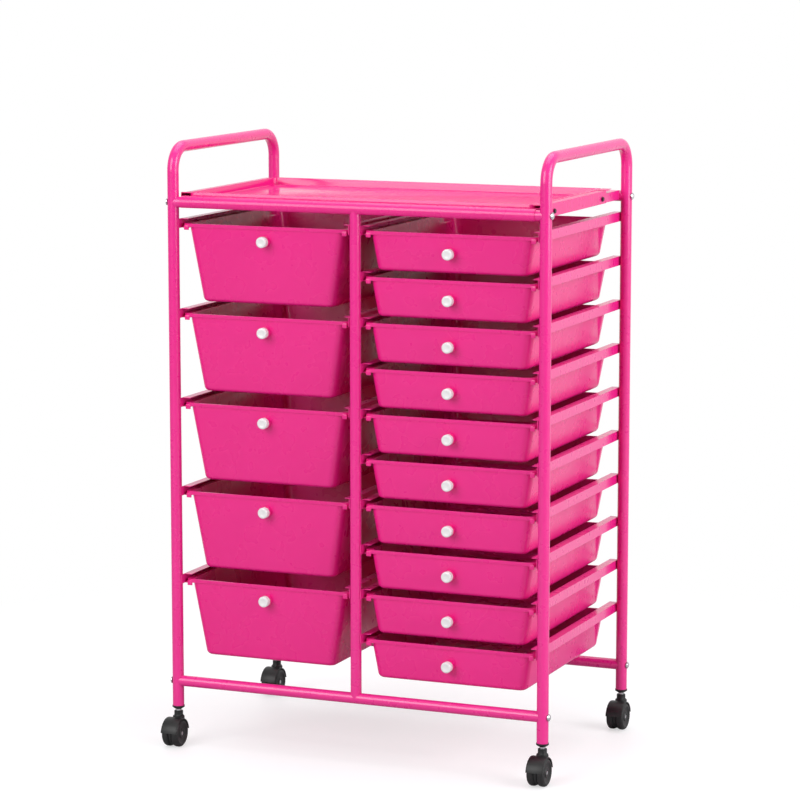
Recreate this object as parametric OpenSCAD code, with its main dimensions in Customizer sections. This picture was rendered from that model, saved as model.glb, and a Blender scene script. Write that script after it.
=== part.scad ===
// Rolling drawer trolley: two bent-tube side frames joined by cross rails,
// two columns of slide-out drawers, a shallow top tray and four twin-wheel casters.
// Millimetres, +Z up, +X to the right, front faces -Y. The origin is on the floor,
// at the centre of the footprint.

/* [Overall] */
// Width over the two side frames
overall_w = 630; // [560:1:800]
// Depth over the front and back posts
overall_d = 388; // [340:1:480]
// Height from the floor to the top of the handles
overall_h = 953; // [930:1:1150]

/* [Frame tubes] */
// Outer diameter of the bent side tubes
side_tube_d = 18; // [15:0.5:22]
// Outer diameter of the cross rails and middle posts
rail_d = 17; // [14:0.5:20]
// Wall thickness of every tube
tube_wall = 1.2; // [0.8:0.1:2]
// Centre-line radius of the handle bends
handle_bend_r = 36; // [28:1:60]
// Height of the lower end of the side tubes
tube_bottom_z = 63; // [60:1:80]
// Height of the bottom rails' centre line
bottom_rail_z = 103; // [90:1:115]
// Height of the handle's centre line above the top rails' centre line
handle_rise = 84; // [70:1:120]
// Gap left for the weld or the paint where one tube meets another
joint_gap = 0.15; // [0.05:0.05:0.3]

/* [Runners] */
// Height of the C-section runners
runner_h = 14.5; // [12:0.5:18]
// Width of a runner's flanges
runner_flange = 13; // [10:0.5:15]
// Sheet thickness of a runner
runner_wall = 1.2; // [0.8:0.1:1.6]
// How far a runner's flanges stop behind its welded front tongue
runner_setback = 11; // [10:0.5:16]

/* [Drawers] */
// Number of large drawers in the left column
large_count = 5;
// Spacing of the small drawers; the large ones take two spacings each
level_pitch = 70; // [66:0.5:74]
// Drop from the top rails' centre line to the first drawer's rim
first_rim_drop = 33; // [30:1:50]
// Height of a small drawer, rim to underside
small_drawer_h = 58; // [45:1:60]
// Height of a large drawer, rim to underside
large_drawer_h = 119; // [100:1:125]
// Length of the drawers, front to back
drawer_length = 347; // [260:1:355]
// Wall thickness of the moulded drawers
drawer_wall = 2; // [1.5:0.1:3]
// Height of the drawer's turned-down rim
rim_h = 5.5; // [4:0.1:7]
// Gap between the rim and the runner's web on each side
rim_side_gap = 2.5; // [1.5:0.1:3.5]
// Width of the rim that stands out beside the body
rim_out = 10.5; // [9:0.5:14]
// Width of the rim in front of and behind the body
rim_front_out = 3; // [2:0.5:5]
// Sideways taper of the drawer's sides, mm per mm of height
side_taper = 0.17; // [0.05:0.01:0.2]
// Lean of the drawer's front
front_taper = 0.06; // [0:0.01:0.12]
// Lean of the drawer's back
back_taper = 0.1; // [0:0.01:0.15]

/* [Knobs] */
// Diameter of the knobs and of the bosses under them
knob_d = 17; // [14:0.5:22]
// Length of the moulded boss in front of the drawer
boss_length = 8; // [5:0.5:12]
// Length of the white knob cap
knob_length = 9; // [6:0.5:12]
// Drop of a large drawer's knob below the rim
large_knob_drop = 23.5; // [18:0.5:40]
// Drop of a small drawer's knob below the rim
small_knob_drop = 30; // [18:0.5:34]
// Diameter of the knob's shank
knob_shank_d = 5; // [4:0.5:6]

/* [Top tray] */
// Thickness of the tray
tray_wall = 2; // [1.5:0.1:3]
// Height of the tray's rim above the top rails' centre line
tray_rim_rise = 15; // [13:0.5:20]
// Depth of the tray, rim to floor
tray_deep = 12; // [8:0.5:14]
// Height of the skirts at the tray's sides
skirt_h = 21; // [15:0.5:24]
// Gap between the back posts' centre line and the tray
tray_back_gap = 47; // [30:1:70]
// How far the skirts stop short of the tray's back edge
skirt_back_gap = 28; // [10:1:40]
// Diameter of the screws that hold the tray
tray_screw_d = 4; // [3:0.5:5]

/* [Casters] */
// Diameter of the caster wheels
wheel_d = 43; // [36:1:44]
// Width of one wheel of the pair
wheel_w = 11.5; // [8:0.5:12]
// Distance of the axle in front of the stem
caster_trail = 14; // [8:1:14]
// Diameter of the swivel stem
stem_d = 8; // [7:0.5:9]
// Diameter of the axle
axle_d = 6; // [5:0.5:7]
// Radial running clearance of stems and axles
running_clearance = 0.15; // [0.1:0.05:0.3]
// Radial gap of a piece fixed in its hole
fixed_clearance = 0.02; // [0.01:0.01:0.05]

/* [Fasteners] */
// Diameter of the frame screws
frame_screw_d = 5; // [4:0.5:6]
// Diameter of the frame screws' heads
frame_head_d = 11; // [9:0.5:12]

/* [Hidden] */
$fn = 64;

paint = "DeepPink";
moulding = "HotPink";
steel = "Silver";
black_plastic = [0.15, 0.15, 0.16];

small_count = 2 * large_count;

// Frame centre lines
post_x = (overall_w - side_tube_d) / 2;
post_y = (overall_d - side_tube_d) / 2;
handle_z = overall_h - side_tube_d / 2;
top_rail_z = handle_z - handle_rise;
side_inner_x = post_x - side_tube_d / 2;
mid_face_x = rail_d / 2;

// Bays between the posts' inner faces
bay_w = side_inner_x - mid_face_x;
bay_x = (side_inner_x + mid_face_x) / 2;
runner_reach = post_y + 4;

// Drawers
first_rim_z = top_rail_z - first_rim_drop;
rim_seat_gap = 0.3;
runner_drop = rim_h + rim_seat_gap + runner_wall;
drawer_w = bay_w - 2 * (runner_wall + rim_side_gap);
body_w = drawer_w - 2 * rim_out;
drawer_front_y = -post_y + 3;
tab_drop = 4.5;
tab_inset = 3.5;

// Knobs
knob_front_y = drawer_front_y + rim_front_out - boss_length - knob_length;
shank_length = 6;

// Tray
tray_rim_z = top_rail_z + tray_rim_rise;
tray_floor_z = tray_rim_z - tray_deep;
tray_half_w = side_inner_x - runner_flange - 0.5;
tray_back_y = post_y - tray_back_gap;
tray_front_y = -post_y + rail_d / 2 + joint_gap + tray_wall;
skirt_gap = 0.2;
skirt_front_y = -post_y + side_tube_d / 2 + 2;
skirt_back_y = tray_back_y - skirt_back_gap;
tray_screw_ys = [skirt_front_y + 45, skirt_back_y - 20];
bar_z = top_rail_z - 5;
bar_front_y = tray_front_y + rim_seat_gap;
bar_back_y = post_y - rail_d / 2 - joint_gap;
tray_screw_z = bar_z + runner_h / 2;
tray_head_h = 2;

// Casters
wheel_r = wheel_d / 2;
hood_gap = 1;
hood_wall = 1.6;
hood_r = wheel_r + hood_gap + hood_wall;
fork_w = 4;
wheel_side_gap = 0.5;
hood_w = fork_w + 2 * (wheel_w + wheel_side_gap);
collar_d = 14;
cap_h = 5.5;
cap_gap = 3;
collar_top_z = tube_bottom_z - cap_h - cap_gap;
collar_h = 4.5;
socket_length = 28;

// Screws
screw_gap = 0.3;
insert_length = 22;
screw_reach = 32;
frame_head_h = 3;

// The footprint runs from the front casters' hoods to the back posts or hoods,
// so everything is moved back to keep the origin at its centre.
front_reach = post_y + max(caster_trail + hood_r, side_tube_d / 2);
back_reach = post_y + max(hood_r - caster_trail, side_tube_d / 2);
centre_shift = (front_reach - back_reach) / 2;

module centred() {
    translate([0, centre_shift, 0]) children();
}

// ---------- tubes ----------

// Ring section of a tube
module tube_section(d) {
    difference() {
        circle(d = d);
        circle(d = d - 2 * tube_wall);
    }
}

// Straight tube along +Z from the origin
module straight_tube(d, length) {
    linear_extrude(length) tube_section(d);
}

// Cylinder along X, centred on the origin
module x_rod(d, length) {
    rotate([0, 90, 0]) cylinder(d = d, h = length, center = true);
}

// One post of a side frame with the holes for its rail screws
module side_post() {
    difference() {
        translate([0, 0, tube_bottom_z])
            straight_tube(side_tube_d, handle_z - handle_bend_r - tube_bottom_z);
        for (z = [bottom_rail_z, top_rail_z])
            translate([0, 0, z]) x_rod(frame_screw_d + 2 * screw_gap, side_tube_d + 2);
    }
}

// Inverted U: front post, handle and back post in one bent tube
module side_tube(x) {
    color(paint) translate([x, 0, 0]) {
        translate([0, -post_y, 0]) side_post();
        translate([0, post_y, 0]) side_post();
        for (side = [0, 1])
            rotate([0, 0, 180 * side])
                translate([0, post_y - handle_bend_r, handle_z - handle_bend_r])
                    rotate([90, 0, 90])
                        rotate_extrude(angle = 90) translate([handle_bend_r, 0]) tube_section(side_tube_d);
        translate([0, -post_y + handle_bend_r, handle_z])
            rotate([-90, 0, 0]) straight_tube(side_tube_d, 2 * (post_y - handle_bend_r));
    }
}

module left_side_tube() side_tube(-post_x);
module right_side_tube() side_tube(post_x);

// Cross rail between the side frames, its ends coped to the posts
module cross_rail(y, z) {
    color(paint) translate([0, y, z]) difference() {
        rotate([0, 90, 0]) translate([0, 0, -post_x]) straight_tube(rail_d, 2 * post_x);
        for (x = [-post_x, post_x])
            translate([x, 0, 0]) cylinder(d = side_tube_d + 2 * joint_gap, h = 2 * rail_d, center = true);
    }
}

module front_top_rail() cross_rail(-post_y, top_rail_z);
module back_top_rail() cross_rail(post_y, top_rail_z);
module front_bottom_rail() cross_rail(-post_y, bottom_rail_z);
module back_bottom_rail() cross_rail(post_y, bottom_rail_z);

// Middle post, its ends coped to the top and bottom rails
module mid_post(y) {
    color(paint) translate([0, y, 0]) difference() {
        translate([0, 0, bottom_rail_z]) straight_tube(rail_d, top_rail_z - bottom_rail_z);
        for (z = [bottom_rail_z, top_rail_z])
            translate([0, 0, z]) x_rod(rail_d + 2 * joint_gap, 2 * rail_d);
    }
}

module front_mid_post() mid_post(-post_y);
module back_mid_post() mid_post(post_y);

// Place children at the eight rail ends, +X pointing out of the frame
module at_rail_ends() {
    for (side = [0, 1], y = [-post_y, post_y], z = [bottom_rail_z, top_rail_z])
        translate([0, y, z]) mirror([side, 0, 0]) children();
}

// Threaded plugs inside the rail ends
module rail_inserts() {
    insert_x = side_inner_x - insert_length - 2;
    color(steel) at_rail_ends()
        translate([insert_x, 0, 0]) rotate([0, 90, 0]) difference() {
            cylinder(d = rail_d - 2 * tube_wall - 2 * fixed_clearance, h = insert_length);
            translate([0, 0, -1])
                cylinder(d = frame_screw_d + 2 * fixed_clearance, h = insert_length + 2);
        }
}

// Screws through the posts into the rails
module frame_screws() {
    color(steel) at_rail_ends()
        translate([overall_w / 2 + fixed_clearance, 0, 0]) rotate([0, 90, 0]) {
            translate([0, 0, -screw_reach]) cylinder(d = frame_screw_d, h = screw_reach + 1);
            cylinder(d = frame_head_d, h = frame_head_h / 2);
            translate([0, 0, frame_head_h / 2])
                cylinder(d1 = frame_head_d, d2 = frame_head_d - 4, h = frame_head_h / 2);
        }
}

// ---------- runners ----------

// C-section along Y, its web's outer face on x = 0 and its mouth towards +X.
// The web's front tongue is as long as the setback.
module c_section(front_y, back_y, setback) {
    translate([0, front_y, 0]) {
        cube([runner_wall, back_y - front_y, runner_h]);
        for (z = [0, runner_h - runner_wall])
            translate([0, setback, z])
                cube([runner_flange, back_y - front_y - setback, runner_wall]);
    }
}

// A column of runners; facing is 1 when the mouths face +X and -1 when they face -X
module runner_column(x, facing, count, pitch) {
    color(paint) for (level = [0 : count - 1])
        translate([x, 0, first_rim_z - level * pitch - runner_drop])
            mirror([facing < 0 ? 1 : 0, 0, 0])
                c_section(-runner_reach, runner_reach, runner_setback);
}

module left_runners() runner_column(-side_inner_x, 1, large_count, 2 * level_pitch);
module mid_left_runners() runner_column(-mid_face_x, -1, large_count, 2 * level_pitch);
module mid_right_runners() runner_column(mid_face_x, 1, small_count, level_pitch);
module right_runners() runner_column(side_inner_x, -1, small_count, level_pitch);

// Bars between the posts at the tray's sides, drilled for the tray screws
module tray_side_bars() {
    color(paint) for (side = [0, 1]) mirror([side, 0, 0])
        difference() {
            translate([side_inner_x, 0, bar_z]) mirror([1, 0, 0]) c_section(bar_front_y, bar_back_y, 0);
            for (y = tray_screw_ys)
                translate([side_inner_x, y, tray_screw_z]) x_rod(tray_screw_d + 2 * screw_gap, 6);
        }
}

// ---------- drawers ----------

// The body's faces at a depth below the rim; inset gives the inside faces
function body_half_w(depth, inset) = body_w / 2 - side_taper * depth - inset;
function body_front(depth, inset) = rim_front_out + front_taper * depth + inset;
function body_back(depth, inset) = drawer_length - rim_front_out - back_taper * depth - inset;

// Tapered body, solid, from a height above the rim down to h below it:
// its front outline and its side outline, crossed
module body_block(h, inset, above) {
    top_w = body_half_w(-above, inset);
    base_w = body_half_w(h, inset);
    intersection() {
        translate([0, drawer_length, 0]) rotate([90, 0, 0]) linear_extrude(drawer_length)
            polygon([[-top_w, above], [top_w, above], [base_w, -h], [-base_w, -h]]);
        translate([-drawer_w / 2, 0, 0]) rotate([90, 0, 90]) linear_extrude(drawer_w)
            polygon([[body_front(-above, inset), above], [body_back(-above, inset), above],
                     [body_back(h, inset), -h], [body_front(h, inset), -h]]);
    }
}

// Tub with a turned-down rim, front at y = 0 and rim top at z = 0
module drawer_tub(h) {
    difference() {
        union() {
            body_block(h, 0, 0);
            translate([-drawer_w / 2, 0, -rim_h]) cube([drawer_w, drawer_length, rim_h]);
        }
        body_block(h - drawer_wall, drawer_wall, 1);
        // underside of the turned-down rim
        difference() {
            translate([-drawer_w / 2 + drawer_wall, drawer_wall, -rim_h - 1])
                cube([drawer_w - 2 * drawer_wall, drawer_length - 2 * drawer_wall, rim_h + 1 - drawer_wall]);
            body_block(h, 0, 1);
        }
    }
}

// Stop tabs under the rim's front corners
module stop_tabs() {
    tab_w = rim_out - tab_inset + drawer_wall;
    for (side = [0, 1]) mirror([side, 0, 0])
        translate([body_w / 2 - drawer_wall, 0, -rim_h - tab_drop])
            cube([tab_w, rim_front_out, tab_drop + drawer_wall]);
}

// Whole drawer with the drilled boss that holds the knob
module drawer(x, rim_z, h, knob_drop) {
    boss_root = front_taper * (knob_drop + knob_d / 2) + drawer_wall / 2;
    color(moulding) translate([x, drawer_front_y, rim_z]) {
        difference() {
            union() {
                drawer_tub(h);
                difference() {
                    stop_tabs();
                    body_block(h - drawer_wall, drawer_wall, 1);
                }
                difference() {
                    translate([0, rim_front_out - boss_length, -knob_drop]) rotate([-90, 0, 0])
                        cylinder(d = knob_d, h = boss_length + boss_root);
                    body_block(h - drawer_wall, drawer_wall, 1);
                }
            }
            translate([0, rim_front_out - boss_length - 1, -knob_drop]) rotate([-90, 0, 0])
                cylinder(d = knob_shank_d + 2 * fixed_clearance, h = boss_length);
        }
    }
}

// White knob with its shank in the boss
module knob(x, rim_z, knob_drop) {
    color("white") translate([x, knob_front_y, rim_z - knob_drop]) rotate([-90, 0, 0]) {
        cylinder(d1 = knob_d - 3, d2 = knob_d, h = 1.5);
        translate([0, 0, 1.5]) cylinder(d = knob_d, h = knob_length - 1.5 - fixed_clearance);
        cylinder(d = knob_shank_d, h = knob_length + shank_length);
    }
}

module large_drawer(i) {
    rim_z = first_rim_z - (i - 1) * 2 * level_pitch;
    drawer(-bay_x, rim_z, large_drawer_h, large_knob_drop);
}

module large_knob(i) {
    knob(-bay_x, first_rim_z - (i - 1) * 2 * level_pitch, large_knob_drop);
}

module small_drawer(i) {
    rim_z = first_rim_z - (i - 1) * level_pitch;
    drawer(bay_x, rim_z, small_drawer_h, small_knob_drop);
}

module small_knob(i) {
    knob(bay_x, first_rim_z - (i - 1) * level_pitch, small_knob_drop);
}

// ---------- top tray ----------

// Lip that wraps over the front top rail, from behind it round to its lower front
module tray_lip() {
    lip_r = rail_d / 2 + joint_gap;
    lip_half_w = side_inner_x - 6;
    translate([-lip_half_w, -post_y, top_rail_z])
        rotate([0, 90, 0]) rotate([0, 0, 165])
            linear_extrude(2 * lip_half_w) difference() {
                intersection() {
                    circle(r = lip_r + tray_wall);
                    union() {
                        translate([0, -lip_r - tray_wall]) square([lip_r + tray_wall, 2 * (lip_r + tray_wall)]);
                        rotate(-60) translate([0, -lip_r - tray_wall])
                            square([lip_r + tray_wall, 2 * (lip_r + tray_wall)]);
                    }
                }
                circle(r = lip_r);
            }
}

// Skirt outside a side bar, with its screw holes
module tray_skirt() {
    difference() {
        translate([side_inner_x + skirt_gap, skirt_front_y, tray_rim_z - skirt_h])
            cube([tray_wall, skirt_back_y - skirt_front_y, skirt_h]);
        for (y = tray_screw_ys)
            translate([side_inner_x, y, tray_screw_z]) x_rod(tray_screw_d + 2 * screw_gap, 8);
    }
}

module top_tray() {
    length = tray_back_y - tray_front_y;
    rim_half_w = side_inner_x + skirt_gap + tray_wall;
    color(moulding) {
        // pan
        translate([-tray_half_w, tray_front_y - tray_wall, tray_floor_z - tray_wall]) difference() {
            cube([2 * tray_half_w, length + tray_wall, tray_deep + tray_wall]);
            translate([tray_wall, tray_wall, tray_wall])
                cube([2 * (tray_half_w - tray_wall), length - tray_wall, tray_deep + 1]);
        }
        // flat rim over the side bars
        for (side = [0, 1]) mirror([side, 0, 0])
            translate([tray_half_w - tray_wall, skirt_front_y, tray_rim_z - tray_wall])
                cube([rim_half_w - tray_half_w + tray_wall, tray_back_y - skirt_front_y, tray_wall]);
        for (side = [0, 1]) mirror([side, 0, 0]) tray_skirt();
        // the lip is notched over the middle post
        difference() {
            tray_lip();
            translate([0, -post_y, top_rail_z - rail_d])
                cylinder(d = rail_d + 2 * joint_gap, h = rail_d);
        }
    }
}

module tray_screws() {
    head_x = side_inner_x + skirt_gap + tray_wall + fixed_clearance;
    color("DimGray") for (side = [0, 1], y = tray_screw_ys) mirror([side, 0, 0])
        translate([head_x, y, tray_screw_z]) rotate([0, 90, 0]) {
            translate([0, 0, -10]) cylinder(d = tray_screw_d, h = 11);
            cylinder(d1 = tray_screw_d + 4, d2 = tray_screw_d + 2, h = tray_head_h);
            translate([0, 0, -6.5]) cylinder(d = tray_screw_d + 3, h = 6.5 - tray_wall - skirt_gap - runner_wall - 0.1);
        }
}

// ---------- casters ----------

// Place children at the four post ends
module at_posts() {
    for (x = [-post_x, post_x], y = [-post_y, post_y]) translate([x, y, 0]) children();
}

// Plugs in the posts' ends that hold the stems
module stem_sockets() {
    color(black_plastic) at_posts() difference() {
        union() {
            translate([0, 0, tube_bottom_z - 1])
                cylinder(d = side_tube_d - 2 * tube_wall - 0.1, h = socket_length + 1);
            translate([0, 0, tube_bottom_z - 2.5]) cylinder(d = side_tube_d + 1.5, h = 2.5 - fixed_clearance);
            translate([0, 0, tube_bottom_z - cap_h]) cylinder(d1 = stem_d + 3, d2 = side_tube_d + 1.5, h = cap_h - 2.5);
        }
        translate([0, 0, tube_bottom_z - cap_h - 1])
            cylinder(d = stem_d + 2 * running_clearance, h = cap_h + socket_length - 2);
    }
}

// Hood and fork of one caster, moulded in one piece
module caster_housing(x, y) {
    color(black_plastic) translate([x, y, 0]) difference() {
        union() {
            // hood over both wheels
            translate([0, -caster_trail, wheel_r]) difference() {
                x_rod(2 * hood_r, hood_w);
                x_rod(2 * (wheel_r + hood_gap), hood_w + 2);
                translate([-hood_w, -2 * hood_r, -3 * hood_r])
                    cube([2 * hood_w, 4 * hood_r, 3 * hood_r + 2]);
            }
            // fork plate between the wheels
            translate([0, -caster_trail, wheel_r]) x_rod(2 * (wheel_r - 3), fork_w);
            translate([-fork_w / 2, -caster_trail - 8, wheel_r])
                cube([fork_w, caster_trail + 8 + collar_d / 2 - 2, hood_r - 2]);
            // collar round the stem
            translate([0, 0, collar_top_z - collar_h]) cylinder(d = collar_d, h = collar_h);
            translate([-hood_w / 2 + 3, -collar_d / 2, wheel_r + hood_r - 4])
                cube([hood_w - 6, collar_d, collar_top_z - collar_h - wheel_r - hood_r + 4]);
        }
        translate([0, 0, 2 * wheel_r - 1]) cylinder(d = stem_d + 2 * fixed_clearance, h = 40);
        translate([0, -caster_trail, wheel_r]) x_rod(axle_d + 2 * fixed_clearance, hood_w);
        // room for the wheels beside the fork plate
        for (side = [-1, 1])
            translate([side * (fork_w / 2 + hood_w / 2), -caster_trail, wheel_r])
                x_rod(2 * (wheel_r + hood_gap), hood_w);
    }
}

// Steel stem and axle of one caster
module caster_pins(x, y) {
    stem_bottom_z = 2 * wheel_r;
    color(steel) translate([x, y, 0]) {
        translate([0, 0, stem_bottom_z])
            cylinder(d = stem_d, h = tube_bottom_z + socket_length - 6 - stem_bottom_z);
        translate([0, -caster_trail, wheel_r]) x_rod(axle_d, hood_w - 2);
    }
}

// Pair of wheels of one caster
module caster_wheels(x, y) {
    crown = 2;
    color([0.22, 0.22, 0.23]) translate([x, y - caster_trail, wheel_r])
        for (side = [0, 1]) mirror([side, 0, 0])
            translate([fork_w / 2 + wheel_side_gap, 0, 0]) rotate([0, 90, 0]) difference() {
                union() {
                    cylinder(d = wheel_d, h = wheel_w - crown);
                    translate([0, 0, wheel_w - crown])
                        cylinder(d1 = wheel_d, d2 = wheel_d - 2 * crown, h = crown);
                }
                translate([0, 0, -1]) cylinder(d = axle_d + 2 * running_clearance, h = wheel_w + 2);
            }
}

centred() left_side_tube();
centred() right_side_tube();
centred() front_mid_post();
centred() back_mid_post();
centred() front_top_rail();
centred() back_top_rail();
centred() front_bottom_rail();
centred() back_bottom_rail();
centred() rail_inserts();
centred() frame_screws();
centred() left_runners();
centred() mid_left_runners();
centred() mid_right_runners();
centred() right_runners();
centred() tray_side_bars();
centred() top_tray();
centred() tray_screws();
centred() stem_sockets();
for (end = [["front", -post_y], ["back", post_y]], side = [["left", -post_x], ["right", post_x]]) {
    caster = str("caster_", end[0], "_", side[0]);
    centred() caster_housing(side[1], end[1]);
    centred() caster_pins(side[1], end[1]);
    centred() caster_wheels(side[1], end[1]);
}
for (i = [1 : large_count]) {
    centred() large_drawer(i);
    centred() large_knob(i);
}
for (i = [1 : small_count]) {
    centred() small_drawer(i);
    centred() small_knob(i);
}
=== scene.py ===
# %% [markdown]
# # A rolling drawer trolley
# The trolley is a frame of bent, powder-coated steel tube with fifteen moulded drawers, a shallow
# moulded tray on top and four twin-wheel casters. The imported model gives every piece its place, so
# the script reads places from it and only adds what the eye needs: rounded mouldings, soft edges,
# and finishes.

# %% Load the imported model
import math

import bmesh
import bpy
from mathutils import Matrix, Vector


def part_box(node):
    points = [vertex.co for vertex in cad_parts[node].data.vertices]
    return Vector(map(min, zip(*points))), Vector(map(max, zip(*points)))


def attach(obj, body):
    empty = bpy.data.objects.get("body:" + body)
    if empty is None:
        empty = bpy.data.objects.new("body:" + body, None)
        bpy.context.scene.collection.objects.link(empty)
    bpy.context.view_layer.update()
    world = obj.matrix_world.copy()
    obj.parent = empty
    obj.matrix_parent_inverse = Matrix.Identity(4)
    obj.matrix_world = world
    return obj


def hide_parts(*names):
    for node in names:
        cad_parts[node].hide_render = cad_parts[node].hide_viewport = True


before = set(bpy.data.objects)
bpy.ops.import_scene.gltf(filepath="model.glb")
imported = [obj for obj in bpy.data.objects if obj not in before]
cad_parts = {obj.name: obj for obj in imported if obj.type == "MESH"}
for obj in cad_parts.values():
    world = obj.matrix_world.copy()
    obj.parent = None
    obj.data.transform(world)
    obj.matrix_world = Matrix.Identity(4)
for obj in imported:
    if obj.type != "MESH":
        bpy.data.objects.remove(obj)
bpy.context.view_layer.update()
MM = 0.001

# %% [markdown]
# ## Camera
# Product pictures are taken with a long lens, so that upright lines stay almost parallel. The camera
# stands a few metres away, to the right of the trolley's front and a little above it. It could be
# aimed with a constraint, but an angle and a distance say the same thing in plain numbers.

# %% Camera
CAMERA_AZIMUTH = math.radians(22.6)
CAMERA_ELEVATION = math.radians(8.6)
CAMERA_DISTANCE = 5.006
CAMERA_LENS = 142.7
CAMERA_AIM = Vector((-0.0068, 0.0213, 0.5411))

away = Vector((math.sin(CAMERA_AZIMUTH) * math.cos(CAMERA_ELEVATION),
               -math.cos(CAMERA_AZIMUTH) * math.cos(CAMERA_ELEVATION),
               math.sin(CAMERA_ELEVATION)))
camera = bpy.data.objects.new("camera", bpy.data.cameras.new("camera"))
bpy.context.scene.collection.objects.link(camera)
camera.data.lens = CAMERA_LENS
camera.data.sensor_width = 36
camera.location = CAMERA_AIM + away * CAMERA_DISTANCE
camera.rotation_mode = "QUATERNION"
camera.rotation_quaternion = (-away).to_track_quat("-Z", "Y")
bpy.context.scene.camera = camera
bpy.context.scene.view_settings.view_transform = "Standard"
print("camera at", [round(c, 3) for c in camera.location])

# %% [markdown]
# ## Helpers for finishes
# A finish is a small tree of shader nodes. One function turns a hex colour into the linear values
# that a shader wants, one starts a material, one adds a node with its settings and links, and one
# sets or links the inputs of a node that is already there.

# %% Helpers for finishes
def linear(hex_colour):
    """sRGB hex to linear RGBA."""
    parts = [int(hex_colour[i:i + 2], 16) / 255 for i in (1, 3, 5)]
    return tuple(c / 12.92 if c <= 0.04045 else ((c + 0.055) / 1.055) ** 2.4 for c in parts) + (1.0,)


def plug(material, node, **inputs):
    """Sets a node's inputs; each is a value or an output socket of another node."""
    for key, value in inputs.items():
        socket = node.inputs[key.replace("_", " ")]
        if isinstance(value, bpy.types.NodeSocket):
            material.node_tree.links.new(value, socket)
        else:
            socket.default_value = value


def add_node(material, kind, settings=None, **inputs):
    """Adds a node with its settings and inputs."""
    made = material.node_tree.nodes.new(kind)
    for key, value in (settings or {}).items():
        setattr(made, key, value)
    plug(material, made, **inputs)
    return made


def start_material(name):
    """A new material with its Principled shader and its object coordinates."""
    material = bpy.data.materials.new(name)
    material.use_nodes = True
    shader = material.node_tree.nodes["Principled BSDF"]
    place = add_node(material, "ShaderNodeTexCoord").outputs["Object"]
    return material, shader, place


print("helpers ready")

# %% [markdown]
# ## Powder coat on steel tube
# The frame is sprayed with a dry powder that melts into a thick glossy skin. Its surface has a soft
# orange peel a few millimetres across. A clear coat over a coloured base gives the wet highlight
# along each tube, and the peel is a shallow bump. The noise scales are in grains per metre or so, so
# 220 gives grains of 4 to 5 mm.

# %% Powder coat
def powder_coat():
    """Glossy pink powder coat: a thick skin with a soft orange peel."""
    material, shader, place = start_material("powder_coated_steel")
    patches = add_node(material, "ShaderNodeTexNoise", Vector=place, Scale=16.0, Detail=2.0)
    pink = add_node(material, "ShaderNodeMixRGB", Fac=patches.outputs["Fac"],
                    Color1=linear("#e21e84"), Color2=linear("#e8258b"))
    cloud = add_node(material, "ShaderNodeTexNoise", Vector=place, Scale=70.0, Detail=2.0)
    gloss = add_node(material, "ShaderNodeMapRange", Value=cloud.outputs["Fac"], To_Min=0.22, To_Max=0.36)
    peel = add_node(material, "ShaderNodeTexNoise", Vector=place, Scale=220.0, Detail=1.0)
    skin = add_node(material, "ShaderNodeBump", Height=peel.outputs["Fac"], Distance=0.1 * MM, Strength=0.08)
    plug(material, shader, Base_Color=pink.outputs["Color"], Roughness=gloss.outputs["Result"],
         Coat_Weight=0.35, Coat_Roughness=0.10, IOR=1.5, Normal=skin.outputs["Normal"])
    return material


# %% [markdown]
# ## Moulded polypropylene
# The drawers and the tray are injection moulded in solid pink polypropylene. The tool was polished,
# so the faces are glossy, with faint flow marks and a little unevenness in the gloss. The tray's pan
# has the higher polish. The plastic lets a trace of light in under its skin, which keeps its shadows
# warm.

# %% Moulded polypropylene
def moulded_plastic(name, rough):
    """Glossy pink polypropylene with faint flow marks."""
    material, shader, place = start_material(name)
    flow = add_node(material, "ShaderNodeTexNoise", Vector=place, Scale=9.0, Detail=3.0)
    pink = add_node(material, "ShaderNodeMixRGB", Fac=flow.outputs["Fac"],
                    Color1=linear("#e21a80"), Color2=linear("#e82086"))
    cloud = add_node(material, "ShaderNodeTexNoise", Vector=place, Scale=35.0, Detail=2.0)
    gloss = add_node(material, "ShaderNodeMapRange", Value=cloud.outputs["Fac"],
                     To_Min=rough - 0.05, To_Max=rough + 0.05)
    ripple = add_node(material, "ShaderNodeTexNoise", Vector=place, Scale=22.0, Detail=1.0)
    skin = add_node(material, "ShaderNodeBump", Height=ripple.outputs["Fac"],
                    Distance=0.2 * MM, Strength=0.06)
    plug(material, shader, Base_Color=pink.outputs["Color"], Roughness=gloss.outputs["Result"], IOR=1.5,
         Subsurface_Weight=0.04, Subsurface_Radius=(0.004, 0.001, 0.002), Normal=skin.outputs["Normal"])
    return material


# %% [markdown]
# ## White knobs, black nylon, plated steel
# The knobs are glossy white ABS. The casters are black nylon with the fine matt grain of a
# spark-eroded tool. The stems, axles and screws are plated with bright zinc, which is never quite
# even. They share one short tree, with their own colours, gloss and grain.

# %% Small finishes
def small_finish(name, dark, light, patch_scale, rough, grain_scale, grain_strength, metallic=0.0):
    """A finish for a small piece: two close colours in patches, uneven gloss and a fine grain."""
    material, shader, place = start_material(name)
    patches = add_node(material, "ShaderNodeTexNoise", Vector=place, Scale=patch_scale, Detail=4.0)
    colour = add_node(material, "ShaderNodeMixRGB", Fac=patches.outputs["Fac"],
                      Color1=linear(dark), Color2=linear(light))
    gloss = add_node(material, "ShaderNodeMapRange", Value=patches.outputs["Fac"],
                     To_Min=rough - 0.08, To_Max=rough + 0.08)
    fine = add_node(material, "ShaderNodeTexNoise", Vector=place, Scale=grain_scale, Detail=2.0)
    skin = add_node(material, "ShaderNodeBump", Height=fine.outputs["Fac"], Distance=0.05 * MM,
                    Strength=grain_strength)
    plug(material, shader, Base_Color=colour.outputs["Color"], Roughness=gloss.outputs["Result"],
         Metallic=metallic, IOR=1.5, Normal=skin.outputs["Normal"])
    return material


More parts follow.
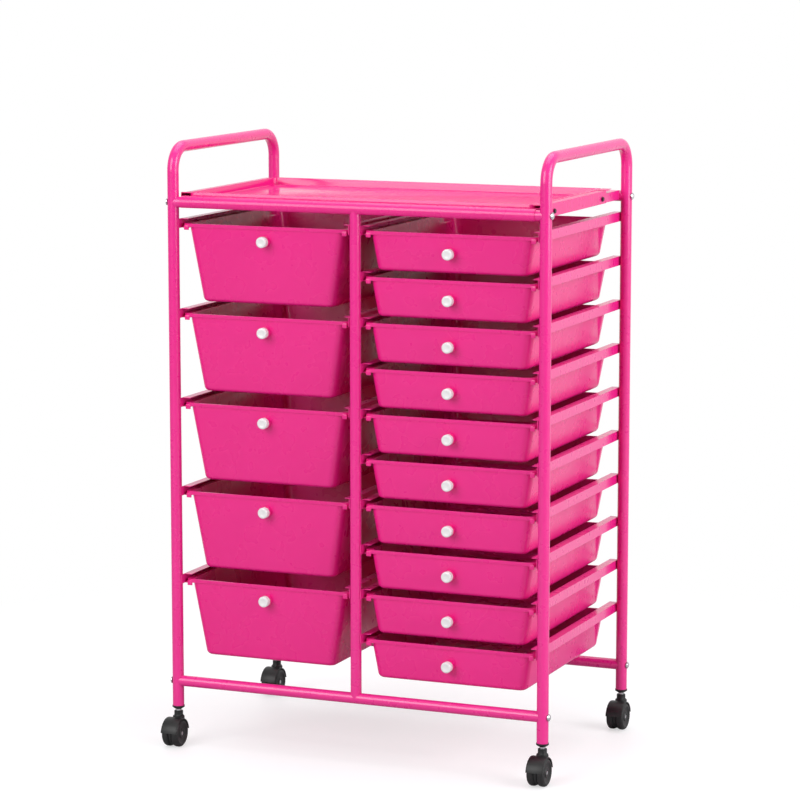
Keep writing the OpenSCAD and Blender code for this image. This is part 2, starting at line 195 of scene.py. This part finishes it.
PAINT = powder_coat()
PLASTIC = moulded_plastic("pink_polypropylene", 0.28)
TRAY_PLASTIC = moulded_plastic("polished_polypropylene", 0.13)
WHITE = small_finish("white_abs", "#dddbdc", "#e4e2e3", 120.0, 0.22, 700.0, 0.08)
NYLON = small_finish("black_nylon", "#0b0b0c", "#121213", 200.0, 0.48, 1500.0, 0.25)
TREAD = small_finish("caster_wheel_nylon", "#111112", "#19191a", 200.0, 0.46, 1500.0, 0.20)
ZINC = small_finish("bright_zinc", "#b9babd", "#d9dadc", 330.0, 0.24, 1200.0, 0.20, metallic=1.0)
DARK_ZINC = small_finish("dark_zinc", "#4a3038", "#5c3f48", 330.0, 0.35, 1200.0, 0.20, metallic=1.0)
print("finishes:", [m.name for m in (PAINT, PLASTIC, TRAY_PLASTIC, WHITE, NYLON, TREAD, ZINC, DARK_ZINC)])

# %% [markdown]
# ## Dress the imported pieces
# The tubes, rails, runners, plugs and pins already have their true shape, so they only need their
# finish.

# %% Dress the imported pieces
NODE_FINISH = {
    "rail_inserts": ZINC, "frame_screws": ZINC, "tray_screws": DARK_ZINC, "stem_sockets": NYLON,
}


def finish_for(name):
    """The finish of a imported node, by its name."""
    if name in NODE_FINISH:
        return NODE_FINISH[name]
    if "drawer" in name or name == "top_tray":
        return PLASTIC
    if "knob" in name:
        return WHITE
    if name.endswith("_housing"):
        return NYLON
    if name.endswith("_wheels"):
        return TREAD
    if name.endswith("_pins"):
        return ZINC
    return PAINT


for name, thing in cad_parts.items():
    thing.data.materials.clear()
    thing.data.materials.append(finish_for(name))
print("dressed", len(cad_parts), "nodes")

# %% [markdown]
# ## Helpers for shapes
# A new piece is modelled in millimetres around its own centre, then scaled to metres and put in
# place in its mesh. Faces are smooth, and edges sharper than 40 degrees stay crisp.

# %% Helpers for shapes
SHARP_ANGLE = math.radians(40)


def finish_piece(name, bm, material, body, place=(0, 0, 0), replaces=()):
    """Turns a bmesh in millimetres into a piece that rides on a body."""
    bmesh.ops.remove_doubles(bm, verts=bm.verts, dist=0.001)
    bmesh.ops.scale(bm, vec=(MM, MM, MM), verts=bm.verts)
    bmesh.ops.translate(bm, vec=place, verts=bm.verts)
    mesh = bpy.data.meshes.new(name)
    bm.to_mesh(mesh)
    bm.free()
    mesh.polygons.foreach_set("use_smooth", [True] * len(mesh.polygons))
    mesh.set_sharp_from_angle(angle=SHARP_ANGLE)
    mesh.materials.append(material)
    piece = bpy.data.objects.new(name, mesh)
    bpy.context.scene.collection.objects.link(piece)
    if replaces:
        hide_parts(*replaces)
    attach(piece, body)
    return piece


def soften(piece, width_mm, segments=2):
    """Rounds the sharp edges of a piece."""
    bevel = piece.modifiers.new("soft_edges", "BEVEL")
    bevel.width = width_mm * MM
    bevel.segments = segments
    bevel.limit_method = "ANGLE"
    bevel.angle_limit = SHARP_ANGLE
    bevel.use_clamp_overlap = True


def spin_profile(bm, points, axis, steps=40):
    """Turns an open outline, given as (radius, distance along the axis), into a closed shape."""
    side = Vector((0, 0, 1)) if abs(axis.z) < 0.5 else Vector((1, 0, 0))
    ring = [bm.verts.new(side * r + axis * h) for r, h in points]
    edges = [bm.edges.new(pair) for pair in zip(ring, ring[1:])]
    bmesh.ops.spin(bm, geom=ring + edges, cent=(0, 0, 0), axis=axis, angle=2 * math.pi,
                   steps=steps, use_merge=True)
    bmesh.ops.remove_doubles(bm, verts=bm.verts, dist=0.001)
    bmesh.ops.recalc_face_normals(bm, faces=bm.faces)


def merge_shape(bm, part):
    """Adds a finished closed shape to another bmesh."""
    mesh = bpy.data.meshes.new("part")
    part.to_mesh(mesh)
    part.free()
    bm.from_mesh(mesh)
    bpy.data.meshes.remove(mesh)


print("shape helpers ready")

# %% [markdown]
# ## Drawers
# Each drawer is a tapered tub with rounded corners. Its rim stands out and turns down, so that it
# hangs in the runners, and near the back each side is pressed in a little to stiffen it. A block
# with its top removed, bevelled and tapered, gives the tub. The rim is the open edge, extruded out
# and then down. A Solidify modifier gives the wall its thickness.

# %% Drawer sizes
LARGE_HEIGHT, SMALL_HEIGHT = 119.0, 58.0
LARGE_KNOB_DROP, SMALL_KNOB_DROP = 23.5, 30.0
RIM_OUT = 10.5
RIM_FRONT = 3.0
RIM_DOWN = 5.5
SIDE_TAPER = 0.17
FRONT_TAPER = 0.06
BACK_TAPER = 0.10
WALL = 2.0
CORNER = 11.0
FLOOR_CORNER = 5.0
KNOB_D = 17.0
BOSS = 8.0
drawer_low, drawer_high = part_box("large_drawer_1")
DRAWER_LENGTH = (drawer_high.y - drawer_low.y) / MM - BOSS + RIM_FRONT
PRESS_FRONT, PRESS_BACK = DRAWER_LENGTH - 76, DRAWER_LENGTH - 24
PRESS_DEPTH = 4.5
PRESS_TOP = 12.0
PRESS_EDGE = 2.5
TAB_INSET = 3.5
TAB_SIZE = 7.5
TAB_DROP = 6.2
BOSS_EDGE = 0.8
SOFT_EDGE = 0.5
print("drawer length", round(DRAWER_LENGTH, 1))


# %% Drawer tub
def tub_shell(width, height):
    """The open tub, front at y = 0 and rim at z = 0."""
    bm = bmesh.new()
    bmesh.ops.create_cube(bm, size=1)
    for vert in bm.verts:
        depth = height if vert.co.z < 0 else 0
        half = width / 2 - RIM_OUT - SIDE_TAPER * depth
        front = RIM_FRONT + FRONT_TAPER * depth
        back = DRAWER_LENGTH - RIM_FRONT - BACK_TAPER * depth
        vert.co = Vector((math.copysign(half, vert.co.x), front if vert.co.y < 0 else back, -depth))
    top = [f for f in bm.faces if all(abs(v.co.z) < 0.1 for v in f.verts)]
    bmesh.ops.delete(bm, geom=top, context="FACES_ONLY")
    upright = [e for e in bm.edges if abs(e.verts[0].co.z - e.verts[1].co.z) > height / 2]
    bmesh.ops.bevel(bm, geom=upright, offset=CORNER, segments=6, profile=0.5, affect="EDGES", material=-1)
    base = [e for e in bm.edges if all(v.co.z < -height + 0.1 for v in e.verts) and not e.is_boundary]
    bmesh.ops.bevel(bm, geom=base, offset=FLOOR_CORNER, segments=4, profile=0.5, affect="EDGES",
                    material=-1)
    return bm


def press_sides(bm, height):
    """Presses both sides in near the back, deepest at the rear edge of the dent."""
    planes = [((0, PRESS_FRONT, 0), (0, 1, 0)), ((0, PRESS_BACK, 0), (0, 1, 0)),
              ((0, PRESS_BACK + PRESS_EDGE, 0), (0, 1, 0)), ((0, 0, -PRESS_TOP), (0, 0, 1)),
              ((0, 0, -PRESS_TOP - 2.0), (0, 0, 1)), ((0, (PRESS_FRONT + PRESS_BACK) / 2, 0), (0, 1, 0))]
    for point, normal in planes:
        bmesh.ops.bisect_plane(bm, geom=bm.verts[:] + bm.edges[:] + bm.faces[:], dist=0.0001,
                               plane_co=point, plane_no=normal)
    for vert in bm.verts:
        inside = PRESS_FRONT < vert.co.y < PRESS_BACK + 1 and vert.co.z < -PRESS_TOP - 1
        if inside and vert.co.z > -height + FLOOR_CORNER:
            share = (vert.co.y - PRESS_FRONT) / (PRESS_BACK - PRESS_FRONT)
            vert.co.x -= math.copysign(PRESS_DEPTH * share, vert.co.x)


def add_rim(bm, width):
    """Extrudes the open edge out to the rim's outline and then down."""
    sizes = ((width / 2) / (width / 2 - RIM_OUT),
             (DRAWER_LENGTH / 2) / (DRAWER_LENGTH / 2 - RIM_FRONT))
    middle = DRAWER_LENGTH / 2
    for step in ("out", "down"):
        edge = [e for e in bm.edges if e.is_boundary]
        grown = bmesh.ops.extrude_edge_only(bm, edges=edge)["geom"]
        for vert in [g for g in grown if isinstance(g, bmesh.types.BMVert)]:
            if step == "out":
                vert.co.x *= sizes[0]
                vert.co.y = middle + (vert.co.y - middle) * sizes[1]
            else:
                vert.co.z -= RIM_DOWN


def add_boss(bm, knob_drop):
    """The round boss on the front that the knob sits on, rooted in the front wall."""
    part = bmesh.new()
    r = KNOB_D / 2
    root = RIM_FRONT + FRONT_TAPER * (knob_drop + r) + WALL / 2
    face = RIM_FRONT - BOSS
    outline = [(0, root), (r, root), (r, face + BOSS_EDGE), (r - BOSS_EDGE, face), (0, face)]
    spin_profile(part, outline, Vector((0, 1, 0)))
    bmesh.ops.translate(part, vec=(0, 0, -knob_drop), verts=part.verts)
    merge_shape(bm, part)


def add_tabs(bm, width):
    """The small stop tabs under the rim's front corners."""
    for side in (-1, 1):
        part = bmesh.new()
        bmesh.ops.create_cube(part, size=1)
        inner, outer = width / 2 - RIM_OUT - WALL / 2, width / 2 - TAB_INSET
        bmesh.ops.scale(part, vec=(outer - inner, WALL, TAB_SIZE), verts=part.verts)
        bmesh.ops.bevel(part, geom=part.edges[:], offset=0.6, segments=2, profile=0.5, affect="EDGES",
                        material=-1)
        bmesh.ops.translate(part, vec=(side * (inner + outer) / 2, WALL / 2, -TAB_DROP), verts=part.verts)
        merge_shape(bm, part)


# %% Make the drawers
def make_drawer(size, index, height, knob_drop):
    """One drawer with its moulded details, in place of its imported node."""
    node = f"{size}_drawer_{index}"
    low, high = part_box(node)
    width = (high.x - low.x) / MM
    bm = tub_shell(width, height)
    press_sides(bm, height)
    add_rim(bm, width)
    bmesh.ops.recalc_face_normals(bm, faces=bm.faces)
    place = ((low.x + high.x) / 2, high.y - DRAWER_LENGTH * MM, high.z)
    shell = finish_piece(f"{node}_tub", bm, PLASTIC, f"{node}_body", place, (node,))
    wall = shell.modifiers.new("wall", "SOLIDIFY")
    wall.thickness = WALL * MM
    wall.offset = -1
    wall.use_even_offset = True
    soften(shell, SOFT_EDGE)
    details = bmesh.new()
    add_boss(details, knob_drop)
    add_tabs(details, width)
    finish_piece(f"{node}_boss", details, PLASTIC, f"{node}_body", place)


for index in range(1, 6):
    make_drawer("large", index, LARGE_HEIGHT, LARGE_KNOB_DROP)
for index in range(1, 11):
    make_drawer("small", index, SMALL_HEIGHT, SMALL_KNOB_DROP)
print("drawers made")

# %% [markdown]
# ## Knobs
# A knob is a short white button with a flat face, a rounded edge and a fine groove behind it. It is
# a turned shape, so its outline is spun round the axis.

# %% Knobs
KNOB_LENGTH = 9.0
SHANK, SHANK_R = 5.0, 2.5


def make_knob(size, index):
    """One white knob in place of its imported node."""
    node = f"{size}_knob_{index}"
    low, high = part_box(node)
    r = KNOB_D / 2
    face = [(0, 0.5), (r - 4.2, 0.5), (r - 3.4, 0.15), (r - 2.4, 0.0), (r - 1.1, 0.35), (r - 0.35, 1.0)]
    groove = [(r, 2.0), (r, 5.8), (r - 0.5, 6.2), (r - 0.5, 6.9), (r - 0.1, 7.2)]
    rear = KNOB_LENGTH - 0.05
    shank = [(r - 0.1, rear), (SHANK_R, rear), (SHANK_R, KNOB_LENGTH + SHANK), (0, KNOB_LENGTH + SHANK)]
    bm = bmesh.new()
    spin_profile(bm, face + groove + shank, Vector((0, 1, 0)), steps=48)
    place = ((low.x + high.x) / 2, low.y, (low.z + high.z) / 2)
    finish_piece(f"{node}_cap", bm, WHITE, f"{size}_drawer_{index}_body", place, (node,))


for index in range(1, 6):
    make_knob("large", index)
for index in range(1, 11):
    make_knob("small", index)
print("knobs made")

# %% [markdown]
# ## Top tray
# The tray is one moulding: a shallow pan, a rim that lies over the side bars and turns down into a
# skirt on each side, and a lip that rolls over the front rail. The pan starts as the drawers do. The
# skirts, the plates beside the pan and the lip are strips of sheet, extruded and given a wall.

# %% Tray pan and rim
TRAY_RISE = 15.0
TRAY_DEEP = 12.0
TRAY_CORNER = 8.0
TRAY_FLOOR_CORNER = 3.0
SIDE_BAR = 13.5
JOINT_GAP = 0.15
tray_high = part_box("top_tray")[1]
bar_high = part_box("tray_side_bars")[1]
rail_low, rail_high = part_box("front_top_rail")
rail_y = (rail_low.y + rail_high.y) / 2 / MM
rail_z = (rail_low.z + rail_high.z) / 2 / MM
rail_r = (rail_high.z - rail_low.z) / 2 / MM
rim_z = rail_z + TRAY_RISE
floor_z = rim_z - TRAY_DEEP
pan_half = bar_high.x / MM - SIDE_BAR
pan_front = rail_y + rail_r + JOINT_GAP
pan_back = tray_high.y / MM
skirt_half = tray_high.x / MM


def tray_pan():
    """The open pan with its rim turned out over the side bars."""
    bm = bmesh.new()
    bmesh.ops.create_cube(bm, size=1)
    for vert in bm.verts:
        vert.co = Vector((math.copysign(pan_half, vert.co.x),
                          pan_front if vert.co.y < 0 else pan_back,
                          floor_z - WALL if vert.co.z < 0 else rim_z))
    top = [f for f in bm.faces if all(v.co.z > rim_z - 0.1 for v in f.verts)]
    bmesh.ops.delete(bm, geom=top, context="FACES_ONLY")
    upright = [e for e in bm.edges if abs(e.verts[0].co.z - e.verts[1].co.z) > 5]
    bmesh.ops.bevel(bm, geom=upright, offset=TRAY_CORNER, segments=6, profile=0.5, affect="EDGES",
                    material=-1)
    base = [e for e in bm.edges if all(v.co.z < floor_z - WALL + 0.1 for v in e.verts)]
    bmesh.ops.bevel(bm, geom=base, offset=TRAY_FLOOR_CORNER, segments=3, profile=0.5, affect="EDGES",
                    material=-1)
    bmesh.ops.recalc_face_normals(bm, faces=bm.faces)
    return bm


pan = finish_piece("top_tray_pan", tray_pan(), TRAY_PLASTIC, "frame",
                   replaces=("top_tray",))
pan_wall = pan.modifiers.new("wall", "SOLIDIFY")
pan_wall.thickness = WALL * MM
pan_wall.offset = -1
soften(pan, SOFT_EDGE)
print("pan", round(2 * pan_half), "mm wide")


# %% Tray skirts and lip
def strip(outline, start, end, axis):
    """A strip of sheet: an outline in the plane across the axis, extruded from start to end."""
    bm = bmesh.new()
    if axis == "y":
        ring = [bm.verts.new((a, start, b)) for a, b in outline]
        along = Vector((0, end - start, 0))
    else:
        ring = [bm.verts.new((start, a, b)) for a, b in outline]
        along = Vector((end - start, 0, 0))
    edges = [bm.edges.new(pair) for pair in zip(ring, ring[1:])]
    grown = bmesh.ops.extrude_edge_only(bm, edges=edges)["geom"]
    bmesh.ops.translate(bm, vec=along, verts=[g for g in grown if isinstance(g, bmesh.types.BMVert)])
    return bm


def thick_strip(bm, thickness):
    """Gives a strip its thickness."""
    bmesh.ops.recalc_face_normals(bm, faces=bm.faces)
    bmesh.ops.solidify(bm, geom=bm.faces[:], thickness=thickness)
    bmesh.ops.recalc_face_normals(bm, faces=bm.faces)
    return bm


SKIN = 1.0
SKIN_EDGE = 0.3
SKIRT_SETBACK = 11.0
SKIRT_SHORT = 28.0
SKIRT_DROP = 20.5
LIP_SHORT = 8.2
skirt_front = rail_y + SKIRT_SETBACK
skirt_back = pan_back - SKIRT_SHORT
pan_side = pan_half - 1
plate_z = rim_z - 1
for side, label in ((-1, "left"), (1, "right")):
    flat = thick_strip(strip([(side * pan_side, plate_z), (side * (skirt_half - 3), plate_z),
                              (side * (skirt_half - 1.6), rim_z - 1.5), (side * (skirt_half - 1), rim_z - 3),
                              (side * (skirt_half - 1), rim_z - SKIRT_DROP)],
                             skirt_front, skirt_back, "y"), SKIN)
    soften(finish_piece(f"top_tray_{label}_skirt", flat, PLASTIC, "frame"), SKIN_EDGE)
    rear = thick_strip(strip([(side * pan_side, plate_z), (side * (skirt_half - 2), plate_z)],
                             skirt_back, pan_back - 1, "y"), SKIN)
    soften(finish_piece(f"top_tray_{label}_rim", rear, PLASTIC, "frame"), SKIN_EDGE)

    front = thick_strip(strip([(side * pan_side, plate_z), (side * (skirt_half - 3), plate_z)],
                              pan_front - 1.5, skirt_front, "y"), SKIN)
    soften(finish_piece(f"top_tray_{label}_corner", front, PLASTIC, "frame"), SKIN_EDGE)

LIP_START, LIP_END = math.radians(30), math.radians(240)
LIP_STEPS = 28
lip_r = rail_r + JOINT_GAP + SKIN
turns = [LIP_START + (LIP_END - LIP_START) * i / LIP_STEPS for i in range(LIP_STEPS + 1)]
arc = [(rail_y + lip_r * math.cos(turn), rail_z + lip_r * math.sin(turn)) for turn in turns]
lip_half = skirt_half - LIP_SHORT
lip = finish_piece("top_tray_front_lip", thick_strip(strip(arc, -lip_half, lip_half, "x"), 0.9), PLASTIC,
                   "frame")
soften(lip, SKIN_EDGE)
print("tray made")

# %% [markdown]
# ## Casters
# Each caster has a black hood over a pair of wheels. The wheels are turned shapes with a rounded
# tread and a dished side. The hood is an arc of sheet swept round the axle, with a fork plate between
# the wheels and a turned collar under the stem.

# %% Casters
HOOD_START, HOOD_END = math.radians(8), math.radians(172)
HOOD_WALL = 1.2
FORK = 4.0
STEM_R = 4.0


def make_wheels(caster):
    """Both wheels of one caster."""
    node = f"{caster}_wheels"
    low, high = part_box(node)
    r = (high.z - low.z) / 2 / MM
    half = (high.x - low.x) / 2 / MM
    inner = 2.5
    bore = 3.1
    bm = bmesh.new()
    outline = [(bore, inner), (r - 2.5, inner), (r - 0.7, inner + 1.2), (r, inner + 3.2), (r, inner + 7.5),
               (r - 0.8, inner + 9.6), (r - 2.6, half - 0.4), (r - 4.5, half), (r - 6, half - 0.6),
               (r - 7.5, half - 1.8), (8, half - 1.8), (7, half - 0.8), (4.2, half - 0.8), (bore, half - 1.6)]
    for side in (-1, 1):
        part = bmesh.new()
        spin_profile(part, outline + outline[:1], Vector((side, 0, 0)), steps=48)
        merge_shape(bm, part)
    centre = (low + high) / 2
    finish_piece(f"{caster}_wheel_pair_piece", bm, TREAD, f"{caster}_wheel_pair", centre,
                 (node,))


def make_hood(caster):
    """The hood, fork and collar of one caster."""
    node = f"{caster}_housing"
    low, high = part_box(node)
    wheel_low, wheel_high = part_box(f"{caster}_wheels")
    axle = (wheel_low + wheel_high) / 2
    outer = (axle.y - low.y) / MM
    half = (high.x - low.x) / 2 / MM
    wheel_r = (wheel_high.z - wheel_low.z) / 2 / MM
    bm = bmesh.new()
    section = [(-half, -1.6), (-half + 0.6, -0.5), (-half + 2.2, 0),
               (half - 2.2, 0), (half - 0.6, -0.5), (half, -1.6)]
    ring = [bm.verts.new((x, math.cos(HOOD_START) * (outer + drop), math.sin(HOOD_START) * (outer + drop)))
            for x, drop in section]
    edges = [bm.edges.new(pair) for pair in zip(ring, ring[1:])]
    bmesh.ops.spin(bm, geom=ring + edges, cent=(0, 0, 0), axis=(1, 0, 0), angle=HOOD_END - HOOD_START,
                   steps=24)
    bmesh.ops.recalc_face_normals(bm, faces=bm.faces)
    up = [f for f in bm.faces if f.calc_center_median().z > outer * 0.9]
    if up and up[0].normal.z < 0:
        bmesh.ops.reverse_faces(bm, faces=bm.faces)
    bmesh.ops.solidify(bm, geom=bm.faces[:], thickness=HOOD_WALL)
    bmesh.ops.recalc_face_normals(bm, faces=bm.faces)
    fork = bmesh.new()
    bmesh.ops.create_cone(fork, cap_ends=True, segments=48, radius1=wheel_r - 2, radius2=wheel_r - 2,
                          depth=FORK)
    bmesh.ops.rotate(fork, cent=(0, 0, 0), matrix=Matrix.Rotation(math.pi / 2, 3, "Y"), verts=fork.verts)
    merge_shape(bm, fork)
    stem_y = (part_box(f"{caster}_pins")[1].y - axle.y) / MM - STEM_R
    top = (high.z - axle.z) / MM
    collar = bmesh.new()
    root = [(0, outer - 6), (9, outer - 6), (9.5, outer - 2), (9, outer + 0.4), (7.4, outer + 1.4)]
    neck = [(7, outer + 2.4), (7, top - 0.6), (6.4, top), (0, top)]
    spin_profile(collar, root + neck, Vector((0, 0, 1)))
    bmesh.ops.translate(collar, vec=(0, stem_y, 0), verts=collar.verts)
    merge_shape(bm, collar)
    finish_piece(f"{caster}_hood", bm, NYLON, f"{caster}_swivel", axle, (node,))


for end in ("front", "back"):
    for side in ("left", "right"):
        make_wheels(f"caster_{end}_{side}")
        make_hood(f"caster_{end}_{side}")
print("casters made")

# %% [markdown]
# ## Floor and light
# The trolley stands on a white studio floor that runs out of sight. Soft light comes from large
# panels above, in front and at the right. To the camera the world is plain white, and the floor
# turns white away from the trolley, so no horizon shows. Reflections see white only behind the
# trolley, which puts the sheen on its sides, tray and handles and keeps its front a full pink. The
# world's light on the trolley is lower than it looks, so that colours stay as they are written.

# %% Floor
FLOOR_GLOW = 0.55
FADE_FROM, FADE_TO = 0.45, 1.25
SHEEN = 0.9
REAR_FROM, REAR_TO = 0.3, 0.9
floor_bm = bmesh.new()
bmesh.ops.create_grid(floor_bm, x_segments=1, y_segments=1, size=30)
floor_mesh = bpy.data.meshes.new("studio_floor")
floor_bm.to_mesh(floor_mesh)
floor_bm.free()
floor = bpy.data.objects.new("studio_floor", floor_mesh)
bpy.context.scene.collection.objects.link(floor)
floor_material, floor_shader, floor_place = start_material("white_studio_floor")
rays = add_node(floor_material, "ShaderNodeLightPath")
reach = add_node(floor_material, "ShaderNodeVectorMath", {"operation": "LENGTH"}, Vector=floor_place)
fade = add_node(floor_material, "ShaderNodeMapRange", Value=reach.outputs["Value"],
                From_Min=FADE_FROM, From_Max=FADE_TO, To_Min=0.0, To_Max=1.0)
far = add_node(floor_material, "ShaderNodeMath", {"operation": "MULTIPLY"})
floor_material.node_tree.links.new(rays.outputs["Is Camera Ray"], far.inputs[0])
floor_material.node_tree.links.new(fade.outputs["Result"], far.inputs[1])
axes = add_node(floor_material, "ShaderNodeSeparateXYZ", Vector=floor_place)
rear = add_node(floor_material, "ShaderNodeMapRange", Value=axes.outputs["Y"],
                From_Min=REAR_FROM, From_Max=REAR_TO, To_Min=0.0, To_Max=SHEEN)
mirrored = add_node(floor_material, "ShaderNodeMath", {"operation": "MULTIPLY_ADD"})
floor_material.node_tree.links.new(rays.outputs["Is Glossy Ray"], mirrored.inputs[0])
floor_material.node_tree.links.new(rear.outputs["Result"], mirrored.inputs[1])
floor_material.node_tree.links.new(far.outputs[0], mirrored.inputs[2])
glow = add_node(floor_material, "ShaderNodeMath", {"operation": "MULTIPLY"})
floor_material.node_tree.links.new(rays.outputs["Is Camera Ray"], glow.inputs[0])
glow.inputs[1].default_value = FLOOR_GLOW
plug(floor_material, floor_shader, Base_Color=linear("#b4b4b6"), Roughness=0.6,
     Emission_Color=linear("#ffffff"), Emission_Strength=glow.outputs[0])
white = add_node(floor_material, "ShaderNodeEmission", Color=linear("#ffffff"), Strength=1.0)
blend = add_node(floor_material, "ShaderNodeMixShader", Fac=mirrored.outputs[0])
floor_material.node_tree.links.new(floor_shader.outputs["BSDF"], blend.inputs[1])
floor_material.node_tree.links.new(white.outputs["Emission"], blend.inputs[2])
plug(floor_material, floor_material.node_tree.nodes["Material Output"], Surface=blend.outputs["Shader"])
floor_mesh.materials.append(floor_material)
print("floor ready")

# %% World and lamps
WORLD_LIGHT = 0.45
world = bpy.data.worlds.new("studio")
bpy.context.scene.world = world
world.use_nodes = True
tree = world.node_tree
background = tree.nodes["Background"]
seen = tree.nodes.new("ShaderNodeLightPath")
level = tree.nodes.new("ShaderNodeMapRange")
level.inputs["To Min"].default_value = WORLD_LIGHT
level.inputs["To Max"].default_value = 1.0
heading = tree.nodes.new("ShaderNodeTexCoord")
axes = tree.nodes.new("ShaderNodeSeparateXYZ")
tree.links.new(heading.outputs["Generated"], axes.inputs["Vector"])
rear = tree.nodes.new("ShaderNodeMapRange")
rear.inputs["From Min"].default_value = 0.0
rear.inputs["From Max"].default_value = 0.6
rear.inputs["To Max"].default_value = SHEEN
tree.links.new(axes.outputs["Y"], rear.inputs["Value"])
mirrored = tree.nodes.new("ShaderNodeMath")
mirrored.operation = "MULTIPLY_ADD"
tree.links.new(seen.outputs["Is Glossy Ray"], mirrored.inputs[0])
tree.links.new(rear.outputs["Result"], mirrored.inputs[1])
tree.links.new(seen.outputs["Is Camera Ray"], mirrored.inputs[2])
tree.links.new(mirrored.outputs[0], level.inputs["Value"])
tree.links.new(level.outputs["Result"], background.inputs["Strength"])
background.inputs["Color"].default_value = linear("#ffffff")


def panel(name, place, aim, size, power):
    """A soft rectangular lamp that faces the aim point."""
    data = bpy.data.lights.new(name, "AREA")
    data.shape = "RECTANGLE"
    data.size, data.size_y = size
    data.energy = power
    lamp = bpy.data.objects.new(name, data)
    bpy.context.scene.collection.objects.link(lamp)
    lamp.location = place
    lamp.rotation_mode = "QUATERNION"
    lamp.rotation_quaternion = (Vector(aim) - Vector(place)).to_track_quat("-Z", "Y")


MIDDLE = (0, 0, 0.5)
panel("front_panel", (-1.2, -3.2, 2.2), MIDDLE, (2.4, 2.4), 92)
panel("side_panel", (3.0, -0.4, 1.6), MIDDLE, (2.0, 2.4), 74)
panel("top_panel", (0, 0.4, 3.2), MIDDLE, (2.5, 2.5), 38)
print("light ready")

# %% [markdown]
# ## End
# The new pieces must fill the same space as the imported model.

# %% Finish
print("scene built")
